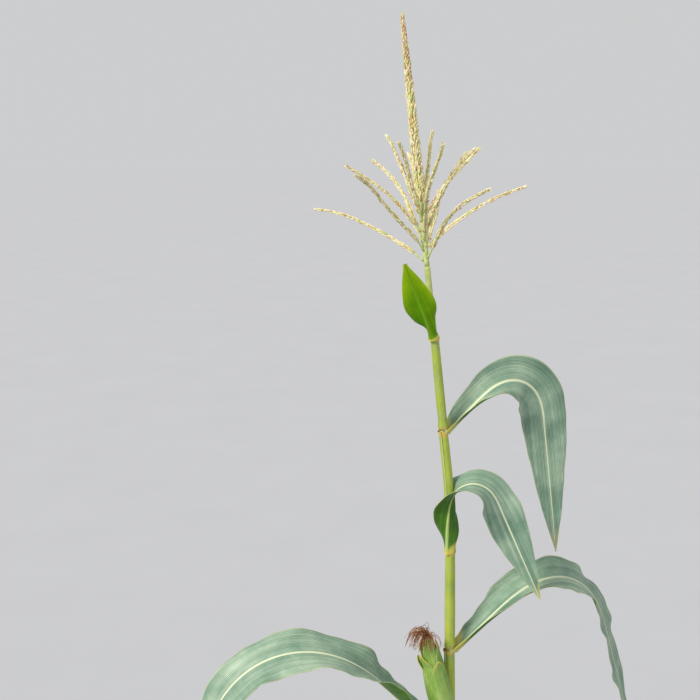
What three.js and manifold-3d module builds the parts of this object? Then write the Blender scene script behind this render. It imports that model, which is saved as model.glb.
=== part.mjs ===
// A flowering maize plant, in millimetres, with +Z up. It stands on the ground at the origin:
// a leaning, tapering stalk on brace roots, nine leaves that each clasp the stalk with a sheath
// and arch away from it, one ear with its silk, and a branched tassel at the top.
import * as THREE from "three";
import { mergeVertices } from "three/addons/utils/BufferGeometryUtils.js";
import Module from "manifold-3d";

const wasm = await Module();
wasm.setup();

const { clamp, lerp, smoothstep, degToRad } = THREE.MathUtils;

// The whole plant
const PLANT_HEIGHT = 1850;
const CLEARANCE = 0.35; // between neighbouring solids
const GOLDEN_ANGLE = 137.5;

// The stalk, a solid culm. It leans towards yaw, with one slope below its bend and another above
const LEAN = { yaw: 168, slopes: [0.016, 0.114], bend: [975, 1100] };
const CULM_TOP = 1440; // the tassel starts here
const CULM_RADIUS_FOOT = 11.5;
const CULM_RADIUS_TOP = 5.2;
const CULM_TAPER_POWER = 0.7;
const CULM_SIDES = 8;
const STATION = 120; // height between the rings that the culm and the sheaths share

// Brace roots, in whorls round the foot
const ROOT_FLARE = 4;
const ROOT_FLARE_HEIGHT = 30;
const ROOT_WHORLS = [
  { height: 20, count: 7, radius: 3.6, length: 60, rise: -48, droop: -75, turn: 0 },
  { height: 50, count: 9, radius: 4.2, length: 105, rise: -30, droop: -72, turn: 17 },
];
const ROOT_SIDES = 5;
const ROOT_STEPS = 3;

// Each leaf's sheath wraps the stalk from the collar below it up to its own collar
const SHEATH_WALL = 1.4;
const SHEATH_FOOT = 62; // where the lowest sheath starts
const SHEATH_STEP = 3; // from one collar's rim to the next sheath
const SHEATH_BELLY = 0.6; // how far it swells half way up
const COLLAR_HEIGHT = 9;
const COLLAR_FLARE = 1.8;

// Leaf blades, from the ground up: the height of the collar, the blade's size, long and wide, the
// compass angle from +X towards +Y, the pitch at the collar and at the tip, the share of the
// length where it bends and the share over which it does, and how far it veers and twists.
// opening is the share of the full width at the collar, and the share of the length where the
// blade is first that wide. turns are the shares of the length that the twist lies between, and
// step is the length between cross-sections.
const LEAVES = [
  { collar: 120, size: [300, 46], yaw: 152, pitch: [42, -52], bend: [0.34, 0.5], veer: 22, twist: -30 },
  { collar: 205, size: [480, 66], yaw: -40, pitch: [56, -62], bend: [0.36, 0.6], veer: -20, twist: 25 },
  { collar: 312, size: [660, 84], yaw: 172, pitch: [58, -72], bend: [0.38, 0.6], veer: 14, twist: -40 },
  { collar: 438, size: [780, 94], yaw: -14, pitch: [62, -76], bend: [0.4, 0.56], veer: -24, twist: 30 },
  { collar: 585, size: [830, 100], yaw: 204, pitch: [47, -80], bend: [0.48, 0.6], veer: -14, twist: -45 },
  { collar: 752, size: [720, 100], yaw: 15, pitch: [40, -72], bend: [0.36, 0.5], veer: 12, twist: 50 },
  { collar: 940, size: [412, 97], yaw: 235, pitch: [86, -66], bend: [0.36, 0.36], veer: 126, twist: 100,
    opening: [0.44, 0.6], turns: [0.22, 0.8], step: 16 },
  { collar: 1156, size: [530, 102], yaw: 33, pitch: [37, -82], bend: [0.34, 0.36], veer: -12, twist: 100,
    opening: [0.45, 0.42], turns: [0.08, 0.46], step: 18 },
  { collar: 1320, size: [152, 64], yaw: 238, pitch: [61, 65], bend: [0.5, 0.6], veer: -21, twist: 49,
    opening: [0.2, 0.56], turns: [0, 0.3], step: 15 },
].map(({ size: [length, width], ...leaf }, index) => ({
  opening: [0.4, 0.3],
  turns: [0.1, 0.7],
  step: 46,
  ...leaf,
  length,
  width,
  number: index + 1,
}));
const SPLIT_ABOVE = 110; // degrees of bend past which a blade is two pieces that meet at the bend
const BLADE_ACROSS = 4; // strips across the blade
const LOWER_SIDE = 3; // of a box geometry's groups
const BLADE_TIP = 3; // half width at the tip
const THICKNESS_SHARE = 1 / 100; // of the length, at the midrib
const MARGIN_THICKNESS = 2;
const TROUGH_FOOT = 0.62; // how far the margins rise over the midrib, as a share of the half width
const TROUGH_TIP = 0.06;
const RUFFLE = 9; // how far the margins wave
const RUFFLE_WAVE = 135; // length of one wave
const LONGEST_BLADE = Math.max(...LEAVES.map((leaf) => leaf.length));
const AXIL = { below: 30, above: 260 }; // how far from the collar a blade or ear is kept clear

// The ear stands in a leaf's axil
const EAR_LEAF = 5;
// It starts by its share of the sheath's radius off the axis, and swells from its neck to its radius
const EAR = { length: 190, radius: 22, neck: 7, lift: 16, lean: 13, offset: 0.6, sides: 10, rings: 9 };
// The silk's strands fan out to both sides of the ear, away from the stalk
const SILK = { strands: 7, fan: 100, length: 62, radius: 2, core: 7, sides: 4, steps: 3 };

// The tassel: a central spike, and branches that spiral up the bare foot of it
// The spike and its spikelets keep their size almost to the top, where they taper fast
const SPIKE = { radius: 4.4, tip: 1, taperPower: 3, lastSpikelet: 0.5, sides: 7, rows: 3, bareTo: 1552 };
const BRANCHES = {
  count: 16,
  from: 1449,
  to: 1540,
  yaw: 165,
  length: [208, 128], // of the lowest and the highest
  rise: [38, 62],
  droop: [6, 50],
  sway: 12, // degrees that every other branch stands steeper
  radius: 1.8,
  tip: 1.0,
  sides: 5,
  steps: 5,
};
// Spikelets are larger and fewer than life. On a branch they stand to both sides, by their spread
// in degrees from the branch's upper side
const SPIKELET = {
  length: 19,
  width: 5.4,
  thickness: 4.2,
  tilt: 18,
  spread: 70,
  pitch: 24,
  bareShare: 0.12,
};

const MATERIALS = {
  stalk: new THREE.MeshStandardMaterial({ color: 0x9fb04a, roughness: 0.55, metalness: 0 }),
  leaf: new THREE.MeshStandardMaterial({ color: 0x5f8a54, roughness: 0.6, metalness: 0 }),
  dryLeaf: new THREE.MeshStandardMaterial({ color: 0xc0922f, roughness: 0.8, metalness: 0 }),
  tassel: new THREE.MeshStandardMaterial({ color: 0xd2c98a, roughness: 0.8, metalness: 0 }),
  husk: new THREE.MeshStandardMaterial({ color: 0x86a852, roughness: 0.6, metalness: 0 }),
  silk: new THREE.MeshStandardMaterial({ color: 0x7a4524, roughness: 0.9, metalness: 0 }),
};

const plant = new THREE.Group();

// Solids

function solidOf(geometry) {
  geometry.deleteAttribute("normal");
  geometry.deleteAttribute("uv");
  const merged = mergeVertices(geometry, 1e-4);
  return new wasm.Manifold(
    new wasm.Mesh({
      numProp: 3,
      vertProperties: merged.attributes.position.array,
      triVerts: new Uint32Array(merged.index.array),
    }),
  );
}

function addPiece(name, solid, material) {
  const { vertProperties, triVerts } = solid.getMesh();
  const geometry = new THREE.BufferGeometry();
  geometry.setAttribute("position", new THREE.BufferAttribute(vertProperties, 3));
  geometry.setIndex(new THREE.BufferAttribute(triVerts, 1));
  geometry.computeVertexNormals();
  const mesh = new THREE.Mesh(geometry, material);
  mesh.name = name;
  plant.add(mesh);
}

function joined(solids) {
  return wasm.Manifold.union(solids);
}

// Moves every vertex of a geometry to where place(x, y, z) says
function shaped(geometry, place) {
  const positions = geometry.attributes.position;
  for (let i = 0; i < positions.count; i++) {
    const to = place(positions.getX(i), positions.getY(i), positions.getZ(i));
    positions.setXYZ(i, to.x, to.y, to.z);
  }
  return geometry;
}

// The stalk's axis and radius, straight between stations, so that what wraps it fits it

function overStations(valueAt) {
  return (z) => {
    const below = Math.floor(z / STATION) * STATION;
    return lerp(valueAt(below), valueAt(below + STATION), (z - below) / STATION);
  };
}
const leanAt = overStations((z) => {
  const [slopeBelow, slopeAbove] = LEAN.slopes;
  const [from, to] = LEAN.bend;
  const t = clamp((z - from) / (to - from), 0, 1);
  const pastBend = (to - from) * (t ** 3 - t ** 4 / 2) + Math.max(z - to, 0);
  return slopeBelow * z + (slopeAbove - slopeBelow) * pastBend;
});
const culmRadius = overStations((z) =>
  lerp(CULM_RADIUS_FOOT, CULM_RADIUS_TOP, Math.min(Math.max(z, 0) / CULM_TOP, 1) ** CULM_TAPER_POWER),
);

function axisAt(z) {
  const towards = degToRad(LEAN.yaw);
  return new THREE.Vector3(Math.cos(towards), Math.sin(towards), 0).multiplyScalar(leanAt(z)).setZ(z);
}

function sheathRadius(z) {
  return culmRadius(z) + CLEARANCE + SHEATH_WALL;
}

// Both heights, and the stations between them
function heightsBetween(from, to) {
  const heights = [from];
  for (let z = (Math.floor(from / STATION) + 1) * STATION; z < to; z += STATION) heights.push(z);
  return [...heights, to];
}

// A solid round the stalk's axis: radiusAt(z) at each of the heights
function column(heights, radiusAt, sides = CULM_SIDES) {
  const last = heights.length - 1;
  const cylinder = new THREE.CylinderGeometry(1, 1, 1, sides, last);
  return solidOf(
    shaped(cylinder, (x, y, z) => {
      const height = heights[Math.round((y + 0.5) * last)];
      const radius = radiusAt(height);
      return axisAt(height).add(new THREE.Vector3(z * radius, x * radius, 0));
    }),
  );
}

// Limbs and blades: a swept line of stations, each with the directions along, side and up

function directions(pitch, yaw, roll = 0) {
  const [p, y] = [degToRad(pitch), degToRad(yaw)];
  const along = new THREE.Vector3(Math.cos(p) * Math.cos(y), Math.cos(p) * Math.sin(y), Math.sin(p));
  const side = new THREE.Vector3(-Math.sin(y), Math.cos(y), 0).applyAxisAngle(along, degToRad(roll));
  return { along, side, up: along.clone().cross(side) };
}

function swept({ start, length, steps, pitchAt, yawAt, rollAt = () => 0 }) {
  const point = start.clone();
  const stations = [];
  for (let k = 0; k <= steps; k++) {
    if (k > 0) {
      const middle = (k - 0.5) / steps;
      const { along } = directions(pitchAt(middle), yawAt(middle));
      point.addScaledVector(along, length / steps);
    }
    const u = k / steps;
    stations.push({ u, point: point.clone(), ...directions(pitchAt(u), yawAt(u), rollAt(u)) });
  }
  return stations;
}

// A round limb through the stations
function limb(stations, radiusAt, sides) {
  const last = stations.length - 1;
  const cylinder = new THREE.CylinderGeometry(1, 1, 1, sides, last);
  return solidOf(
    shaped(cylinder, (x, y, z) => {
      const { u, point, side, up } = stations[Math.round((y + 0.5) * last)];
      const radius = radiusAt(u);
      return point.clone().addScaledVector(up, x * radius).addScaledVector(side, z * radius);
    }),
  );
}

// The stalk with its brace roots, cut flat at the ground

function braceRoots({ height, count, radius, length, rise, droop, turn }) {
  return Array.from({ length: count }, (_, i) => {
    const yaw = turn + (360 * i) / count;
    const stations = swept({
      start: axisAt(height),
      length,
      steps: ROOT_STEPS,
      pitchAt: (u) => lerp(rise, droop, u),
      yawAt: () => yaw,
    });
    return limb(stations, (u) => lerp(radius * 1.25, radius * 0.8, u), ROOT_SIDES);
  });
}

function makeStalk() {
  const flared = (z) => culmRadius(z) + ROOT_FLARE * (1 - smoothstep(z, 0, ROOT_FLARE_HEIGHT));
  const heights = [0, ROOT_FLARE_HEIGHT / 2, ...heightsBetween(ROOT_FLARE_HEIGHT, CULM_TOP)];
  const soilDepth = 200;
  const soil = new THREE.BoxGeometry(1000, 1000, soilDepth).translate(0, 0, -soilDepth / 2);
  const foot = joined([column(heights, flared), ...ROOT_WHORLS.flatMap(braceRoots)]);
  addPiece("stalk", foot.subtract(solidOf(soil)), MATERIALS.stalk);
}

// A leaf's sheath, a sleeve on the stalk that flares at the collar
function sheath(from, collar) {
  const top = collar - COLLAR_HEIGHT;
  const belly = (z) => SHEATH_BELLY * Math.sin((Math.PI * (z - from)) / (top - from));
  const outer = heightsBetween(from, top).map((z) => [z, SHEATH_WALL + belly(z)]);
  outer.push([collar, SHEATH_WALL + COLLAR_FLARE]);
  const inner = heightsBetween(from, collar).map((z) => [z, 0]);
  const profile = [...outer, ...inner.reverse(), outer[0]].map(
    ([z, wall]) => new THREE.Vector2(culmRadius(z) + CLEARANCE + wall, z),
  );
  const sleeve = new THREE.LatheGeometry(profile, CULM_SIDES);
  return solidOf(shaped(sleeve, (x, y, z) => axisAt(y).add(new THREE.Vector3(z, x, 0))));
}

// A leaf's blade: a thin trough with waving margins, wide in the middle and long pointed

function bladeStations({ collar, length, yaw, pitch, bend, veer, twist, turns, step }) {
  const outwards = directions(0, yaw).along;
  const [bendAt, bendOver] = bend;
  const bent = (u) => smoothstep(u, bendAt - bendOver / 2, bendAt + bendOver / 2);
  return swept({
    start: axisAt(collar - COLLAR_HEIGHT / 2).addScaledVector(outwards, sheathRadius(collar)),
    length,
    steps: Math.round(length / step),
    pitchAt: (u) => lerp(...pitch, bent(u)),
    yawAt: (u) => yaw + veer * smoothstep(u, 0, bendAt),
    rollAt: (u) => twist * smoothstep(u, ...turns),
  });
}

function halfWidthAt(leaf, u) {
  const [footShare, fullAt] = leaf.opening;
  const opened = lerp(footShare, 1, smoothstep(u, -0.02, fullAt));
  const taper = 1 - u ** 2.6;
  return Math.max((leaf.width / 2) * opened * taper, BLADE_TIP);
}

// A point of the blade, across from -1 to 1 between the margins, and layer -0.5 or 0.5 for the
// lower or the upper side
function bladePoint(leaf, { u, point, side, up }, across, layer) {
  const half = halfWidthAt(leaf, u);
  const edge = Math.abs(across);
  const trough = lerp(TROUGH_FOOT, TROUGH_TIP, smoothstep(u, 0, 0.5));
  const phase = leaf.number * 2 + (across > 0 ? 2.1 : 0);
  const wave = Math.sin((2 * Math.PI * u * leaf.length) / RUFFLE_WAVE + phase);
  const ruffle = RUFFLE * (leaf.length / LONGEST_BLADE) * smoothstep(u, 0.05, 0.3) * (1 - u);
  const thick = lerp(leaf.length * THICKNESS_SHARE, MARGIN_THICKNESS, Math.sqrt(edge));
  const rise = half * trough * edge ** 1.5 + ruffle * wave * edge ** 3 + layer * thick;
  const reach = across * half * (1 - 0.3 * trough);
  return point.clone().addScaledVector(side, reach).addScaledVector(up, rise);
}

// A flat slab whose upper and lower sides are cut into triangles along the same diagonals, so
// that they stay apart where the blade twists
function slabOf(rows) {
  const slab = new THREE.BoxGeometry(2, 1, rows, BLADE_ACROSS, 1, rows);
  const corners = slab.index.array;
  const { start, count } = slab.groups[LOWER_SIDE];
  for (let i = start; i < start + count; i += 6) {
    const [a, b, d, , c] = corners.slice(i, i + 6);
    corners.set([a, b, c, a, c, d], i);
  }
  return slab;
}

// The stretch of blade through the stations. Its foot starts that far clear of the first one
function blade(leaf, stations, startGap = 0) {
  const last = stations.length - 1;
  const slab = slabOf(last);
  return solidOf(
    shaped(slab, (x, y, z) => {
      const k = Math.round(z + last / 2);
      const at = bladePoint(leaf, stations[k], x, y);
      return k === 0 ? at.addScaledVector(stations[0].along, startGap) : at;
    }),
  );
}

// The room that the sheaths take round a collar, which a blade or an ear is cut clear of
function stemSpace(collar) {
  const heights = heightsBetween(collar - AXIL.below, Math.min(collar + AXIL.above, CULM_TOP - 1));
  return column(heights, (z) => sheathRadius(z) + COLLAR_FLARE + CLEARANCE);
}

function makeLeaf(leaf) {
  const sheathFrom = leaf.number === 1 ? SHEATH_FOOT : LEAVES[leaf.number - 2].collar + SHEATH_STEP;
  const stations = bladeStations(leaf);
  const last = stations.length - 1;
  const isSplit = leaf.pitch[0] - leaf.pitch[1] > SPLIT_ABOVE;
  const splitAt = isSplit ? Math.round(leaf.bend[0] * last) : last;
  const foot = blade(leaf, stations.slice(0, splitAt + 1)).subtract(stemSpace(leaf.collar));
  const material = leaf.number === 1 ? MATERIALS.dryLeaf : MATERIALS.leaf;
  const name = `leaf_${leaf.number}`;
  addPiece(`${name}_sheath`, sheath(sheathFrom, leaf.collar), material);
  addPiece(name, foot, material);
  if (isSplit) addPiece(`${name}_tip`, blade(leaf, stations.slice(splitAt), CLEARANCE), material);
}

// The ear: husks round the cob, standing in the axil, and the silk that hangs from its mouth

function earFrame() {
  const leaf = LEAVES[EAR_LEAF - 1];
  const outwards = directions(0, leaf.yaw).along;
  const foot = axisAt(leaf.collar + EAR.lift);
  foot.addScaledVector(outwards, sheathRadius(leaf.collar) * EAR.offset);
  return { foot, collar: leaf.collar, yaw: leaf.yaw, ...directions(90 - EAR.lean, leaf.yaw) };
}

function makeHusk() {
  const { foot, collar, along, side, up } = earFrame();
  const swell = (v) => lerp(EAR.neck, EAR.radius, Math.sin(Math.PI * lerp(0.1, 1, v)) ** 0.7);
  const profile = [new THREE.Vector2(0, 0)];
  for (let k = 0; k <= EAR.rings; k++) {
    const v = k / EAR.rings;
    profile.push(new THREE.Vector2(swell(v), v * EAR.length));
  }
  profile.push(new THREE.Vector2(0, EAR.length));
  const turned = new THREE.LatheGeometry(profile, EAR.sides);
  const husk = shaped(turned, (x, y, z) =>
    foot.clone().addScaledVector(along, y).addScaledVector(up, -x).addScaledVector(side, -z),
  );
  addPiece("ear_husk", solidOf(husk).subtract(stemSpace(collar)), MATERIALS.husk);
}

function makeSilk() {
  const { foot, yaw, along } = earFrame();
  const mouth = foot.clone().addScaledVector(along, EAR.length + CLEARANCE + SILK.core);
  const core = new THREE.OctahedronGeometry(SILK.core, 1).translate(...mouth);
  const strands = Array.from({ length: SILK.strands }, (_, i) => {
    const turn = lerp(-SILK.fan, SILK.fan, i / (SILK.strands - 1));
    const stations = swept({
      start: mouth,
      length: SILK.length * (i % 2 ? 1 : 0.75),
      steps: SILK.steps,
      pitchAt: (u) => lerp(60, -75, smoothstep(u, 0, 0.9)),
      yawAt: () => yaw + turn,
    });
    return limb(stations, (u) => SILK.radius * lerp(1.4, 0.6, u), SILK.sides);
  });
  addPiece("ear_silk", joined([solidOf(core), ...strands]), MATERIALS.silk);
}

// The tassel: spikelets lie along the spike and the branches, sunk into them at the foot

function spikelet(point, { along, side, up }, turn, reach, size = 1) {
  const outwards = up.clone().multiplyScalar(Math.cos(turn)).addScaledVector(side, Math.sin(turn));
  const tilt = degToRad(SPIKELET.tilt);
  const long = along.clone().multiplyScalar(Math.cos(tilt)).addScaledVector(outwards, Math.sin(tilt));
  const across = along.clone().cross(outwards).normalize();
  const face = long.clone().cross(across).normalize();
  const length = size * SPIKELET.length;
  const centre = point.clone().addScaledVector(outwards, reach).addScaledVector(long, length * 0.3);
  const toPlace = new THREE.Matrix4().makeBasis(
    long.multiplyScalar(length / 2),
    across.multiplyScalar((size * SPIKELET.width) / 2),
    face.multiplyScalar((size * SPIKELET.thickness) / 2),
  );
  return solidOf(new THREE.OctahedronGeometry(1).applyMatrix4(toPlace.setPosition(centre)));
}

function alongSpike(z, foot, tip) {
  const share = (z - CULM_TOP) / (PLANT_HEIGHT - CULM_TOP);
  return lerp(foot, tip, share ** SPIKE.taperPower);
}

function spikeRadius(z) {
  return alongSpike(z, SPIKE.radius, SPIKE.tip);
}

function makeSpike() {
  const heights = [CULM_TOP + CLEARANCE, ...heightsBetween(SPIKE.bareTo, PLANT_HEIGHT)];
  const upright = directions(90, 0);
  const step = SPIKELET.pitch / SPIKE.rows;
  const spikelets = [];
  for (let z = SPIKE.bareTo; z < PLANT_HEIGHT - SPIKELET.length; z += step) {
    const turn = degToRad(spikelets.length * GOLDEN_ANGLE);
    const size = alongSpike(z, 1, SPIKE.lastSpikelet);
    spikelets.push(spikelet(axisAt(z), upright, turn, spikeRadius(z), size));
  }
  const spike = column(heights, spikeRadius, SPIKE.sides);
  addPiece("tassel_spike", joined([spike, ...spikelets]), MATERIALS.tassel);
}

function makeBranch(i) {
  const high = i / (BRANCHES.count - 1);
  const sway = i % 2 ? BRANCHES.sway : 0;
  const yaw = BRANCHES.yaw + i * GOLDEN_ANGLE;
  const outwards = directions(0, yaw).along;
  const length = lerp(...BRANCHES.length, high);
  const rise = lerp(...BRANCHES.rise, high) + sway;
  const droop = lerp(...BRANCHES.droop, high) + sway;
  const { steps } = BRANCHES;
  const stations = swept({
    start: axisAt(lerp(BRANCHES.from, BRANCHES.to, high)).addScaledVector(outwards, SPIKE.radius),
    length,
    steps,
    pitchAt: (u) => lerp(rise, droop, smoothstep(u, 0, 1.1)),
    yawAt: () => yaw,
  });
  const radiusAt = (u) => lerp(BRANCHES.radius, BRANCHES.tip, u);
  const pairs = Math.floor((length * (1 - SPIKELET.bareShare)) / SPIKELET.pitch);
  const spikelets = Array.from({ length: 2 * pairs }, (_, j) => {
    const u = lerp(SPIKELET.bareShare, 1 - SPIKELET.length / 2 / length, j / (2 * pairs - 1));
    const k = Math.min(Math.floor(u * steps), steps - 1);
    const point = stations[k].point.clone().lerp(stations[k + 1].point, u * steps - k);
    const turn = degToRad(j % 2 ? SPIKELET.spread : -SPIKELET.spread);
    return spikelet(point, stations[k], turn, radiusAt(u));
  });
  const branch = joined([limb(stations, radiusAt, BRANCHES.sides), ...spikelets]);
  const spikeSpace = column([CULM_TOP + 1, SPIKE.bareTo], (z) => spikeRadius(z) + CLEARANCE, SPIKE.sides);
  const name = `tassel_branch_${String(i + 1).padStart(2, "0")}`;
  addPiece(name, branch.subtract(spikeSpace), MATERIALS.tassel);
}

makeStalk();
LEAVES.forEach(makeLeaf);
makeHusk();
makeSilk();
makeSpike();
for (let i = 0; i < BRANCHES.count; i++) makeBranch(i);

export default plant;
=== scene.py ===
"""The looks of the maize plant, in metres: fine leaves, stalk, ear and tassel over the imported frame."""

import math

import bpy
import numpy as np
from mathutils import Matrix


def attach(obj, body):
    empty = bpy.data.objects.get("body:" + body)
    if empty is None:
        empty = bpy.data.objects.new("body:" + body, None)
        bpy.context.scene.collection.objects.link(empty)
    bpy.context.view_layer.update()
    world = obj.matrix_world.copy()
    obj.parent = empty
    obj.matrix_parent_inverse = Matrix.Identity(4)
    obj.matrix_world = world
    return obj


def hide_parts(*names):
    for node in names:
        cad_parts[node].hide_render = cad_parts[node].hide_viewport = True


# Lengths are in metres and angles in degrees, but in radians for how far a sheet wraps round a limb
# (turn, arc, overlap and spiral) and for the spikelets' scatter round the spike
RNG = np.random.default_rng(7)
GOLDEN_ANGLE = 137.5
ALL_AROUND = 2 * math.pi

# The camera, as the photograph was taken
CAMERA_AT = (-0.19, -1.9, 1.70)
CAMERA_DOWN = 11.9
FOCAL_PIXELS = 1151
FRAME_PIXELS = 700

# The studio: a floor of the same brightness as the world behind it, and two soft suns
FLOOR_HALF = 30.0
FLOOR_Z = -0.0006
FLOOR_TONES = ("b8b9be", "babbc1")
WORLD = dict(colour=(0.98, 0.99, 1.0, 1), strength=0.62)
SUNS = dict(
    key=dict(place=(-0.9, -0.75, 0.95), power=3.0, spread=14, colour=(1.0, 0.97, 0.88)),
    fill=dict(place=(1.0, -1.2, 0.9), power=0.3, spread=60, colour=(0.92, 0.96, 1.0)),
)

# The stalk: where it leans, its slope below and above its bend, and its radius at foot and top
PLANT_HEIGHT = 1.85
LEAN_YAW = 168
LEAN_SLOPES = (0.016, 0.114)
LEAN_BEND = (0.975, 1.100)
CULM_TOP = 1.44
CULM_RADIUS = (0.0115, 0.0052)
CULM_TAPER_POWER = 0.7
CULM_SIDES = 32

# Rows of points up the stalk, as from, to and how many: denser where the roots are
CULM_ROWS = [(0, 0.16, 60), (0.17, CULM_TOP, 240)]

# Brace roots, in whorls round the foot, each just under a ring that swells the stalk
ROOT_FLARE = 0.004
ROOT_FLARE_HEIGHT = 0.03
ROOT_RING = dict(lift=0.002, width=0.005, swell=0.0014)
ROOT_SHAPE = dict(steps=22, sides=12, bow=5, taper=(1.15, 0.72), thick_foot=0.25)
ROOT_WHORLS = [
    dict(height=0.020, count=7, radius=0.0036, length=0.060, rise=-48, droop=-75, turn=0),
    dict(height=0.050, count=9, radius=0.0042, length=0.105, rise=-30, droop=-72, turn=17),
]

# Sheaths: each wraps the stalk once and a little more, so that its two margins overlap, swells
# over the node at its foot and loosens towards the collar, where the ligule stands
SHEATH_WALL = 0.0014
SHEATH_FOOT = 0.062
SHEATH_STEP = 0.003
SHEATH_BELLY = 0.0006
SHEATH_OVERLAP = 0.35
SHEATH_COLUMNS = 44
SHEATH_SPIRAL = 0.5
SHEATH_NODE = dict(above=0.007, width=0.006, swell=0.0011)
SHEATH_LOOSE = dict(below=0.09, by=0.0009)
SHEATH_RIBS = dict(count=23, height=0.00018)
COLLAR_HEIGHT = 0.009
COLLAR_FLARE = 0.0018
LIGULE = dict(span=(-0.003, 0.006), turn=1.9)

# How far the two faces of a thin sheet lie from its middle
FACES = dict(sheath=(0.00045, 0.00045), ligule=(0.00018, 0.00018), husk=(0.0004, 0.0004))

# Leaves, from the ground up, as the solids have them. collar is the height of the collar, and size
# the blade's length and width. yaw is where the blade points at first, and veer how far it turns
# from that. pitch is the slope at first and at the end, and bend the share of the length that the
# change is centred on and the share that it takes. The sides twist between the shares in turns.
# opening is the share of the width at the collar and the share of the length where it is first
# full, and tip the half width at the far end
LEAVES = [
    dict(collar=0.120, size=(0.300, 0.046), yaw=152, pitch=(42, -52), bend=(0.34, 0.5), veer=22, twist=-30),
    dict(collar=0.205, size=(0.480, 0.066), yaw=-40, pitch=(56, -62), bend=(0.36, 0.6), veer=-20, twist=25),
    dict(collar=0.312, size=(0.660, 0.084), yaw=172, pitch=(58, -72), bend=(0.38, 0.6), veer=14, twist=-40),
    dict(collar=0.438, size=(0.780, 0.094), yaw=-14, pitch=(62, -76), bend=(0.40, 0.56), veer=-24, twist=30),
    dict(collar=0.585, size=(0.830, 0.100), yaw=204, pitch=(47, -80), bend=(0.48, 0.6), veer=-14, twist=-45),
    dict(collar=0.752, size=(0.720, 0.100), yaw=15, pitch=(40, -72), bend=(0.36, 0.5), veer=12, twist=50),
    dict(
        collar=0.940, size=(0.412, 0.097), yaw=235, pitch=(86, -66), bend=(0.36, 0.36), veer=126, twist=100,
        opening=(0.44, 0.6), turns=(0.22, 0.8),
    ),
    dict(
        collar=1.156, size=(0.530, 0.102), yaw=33, pitch=(37, -82), bend=(0.34, 0.36), veer=-12, twist=100,
        opening=(0.45, 0.42), turns=(0.08, 0.46),
    ),
    dict(
        collar=1.320, size=(0.152, 0.064), yaw=238, pitch=(61, 65), bend=(0.5, 0.6), veer=-21, twist=49,
        opening=(0.2, 0.56), turns=(0.0, 0.3), tip=0.0036,
    ),
]
OPENING = (0.4, 0.3)
TURNS = (0.1, 0.7)
TIP = 0.0005
LONGEST_BLADE = max(leaf["size"][0] for leaf in LEAVES)

# A leaf that bends by more degrees than this is two solids
SPLIT_ABOVE = 110

# Blades: the foot clasps the collar, turns so far round it to both sides, and lets go of it over a
# stretch of the blade. The trough is how far the two halves curl up at the foot and further out,
# in shares of the curl's radians
CLASP = dict(turn=1.9, over=0.045, slant=0.004, flare=0.0008)
CLEAR_BY = 0.0012
BLADE_STEP = 0.006
BLADE_COLUMNS = 31
BLADE_THICKNESS = 0.0007
BLADE_TAPER = 2.6
MIDRIB_DEPTH = 0.0042
MIDRIB_WIDTH = 0.0034
MIDRIB_AT_TIP = 0.22
GROOVE_DEPTH = 0.0006
PLEATS = dict(height=0.0005, width=0.0014)
TROUGH = (0.62, 0.06)
TROUGH_CURL = 2.1

# The waves of the margins: how high and how long
RUFFLE = 0.009
RUFFLE_WAVE = 0.135
RIPPLE = 0.0034
RIPPLE_WAVE = 0.062
CRIMP = 0.0014
CRIMP_WAVE = 0.041

# A sharp bend gathers the inner margin: where its rows stride less than such shares of the
# midrib's stride, it is smoothed, and its waves are stilled
GATHERED = (0.35, 0.8)
STILLED = (0.25, 0.85)
EASING_ROUNDS = 60

# Colours of the leaves: tones from dark to pale, bloom how strongly they mirror the light, and sear how far
# each leaf has yellowed from its tip. A green blade's upper tones run from its grey-green in shade to a pale
# grey-green that is partly its waxy bloom and partly painted sheen of the sky; its lower tones are the
# underside's own green, darkened with painted shade
GREEN_BLADE = dict(
    upper=("456a57", "78967f", "b4c5ab"), lower=("2a5208", "3d6c0d", "62902b"),
    rib="d9e0bc", under_rib="aec476", edge="c7cb8a", bloom=0.6, glow=None,
)
# The topmost blade's bright yellow-green is partly its own colour and partly painted light shining through
# it from behind; glow adds more of that painted light at its margins and tip
FLAG_BLADE = dict(
    upper=("437600", "588a02", "7ba808"), lower=("437600", "588a02", "7ba808"),
    rib="6f9a1c", under_rib="6f9a1c", edge="9cb52a", bloom=0.15, glow="9fbe10",
)
COLLAR_YELLOW = "cdc25a"
SEAR_YELLOW = "c8b64c"
SEAR_BROWN = "ab8347"
SEAR = (1.15, 0.45, 0.3, 0.18, 0.12, 0.12, 0.08, 0.08, 0.05)

# Colours of the husks, the sheaths, the stalk and its roots, and how far apart the veins lie
HUSK_BLADE = dict(tones=("5f8a2e", "86a94a", "b4c877"), rib="a5bf63", edge="b9c97f", sear=0.1, gloss=0.48)
GREEN_SHEATH = dict(sunny="b6bf48", shaded="729233", bloom="8fa676", rim="cdd294")
DRY_SHEATH = dict(sunny="cdb46a", shaded="a8873f", bloom="c7b889", rim="dccb96")
SHEATH_ENDS = dict(foot="b9a24c", node="8a5a34", collar="d8b455")
CULM_TONES = dict(shaded="93ac5f", sunny="d3d684", dusty="9a8a4e", stained="6b4a30")
ROOT_TONES = dict(foot="8f9a55", red="a3574a", tan="b08a5c", soiled="5f4430")
VEINS = dict(blade=0.0026, sheath=0.0021, culm=0.0024)

# Every leaf and husk takes its own stretch of its pattern, so many metres on from the last one's
PATTERN_STEP = dict(blade=1.7, sheath=0.9, husk=0.31)

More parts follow.
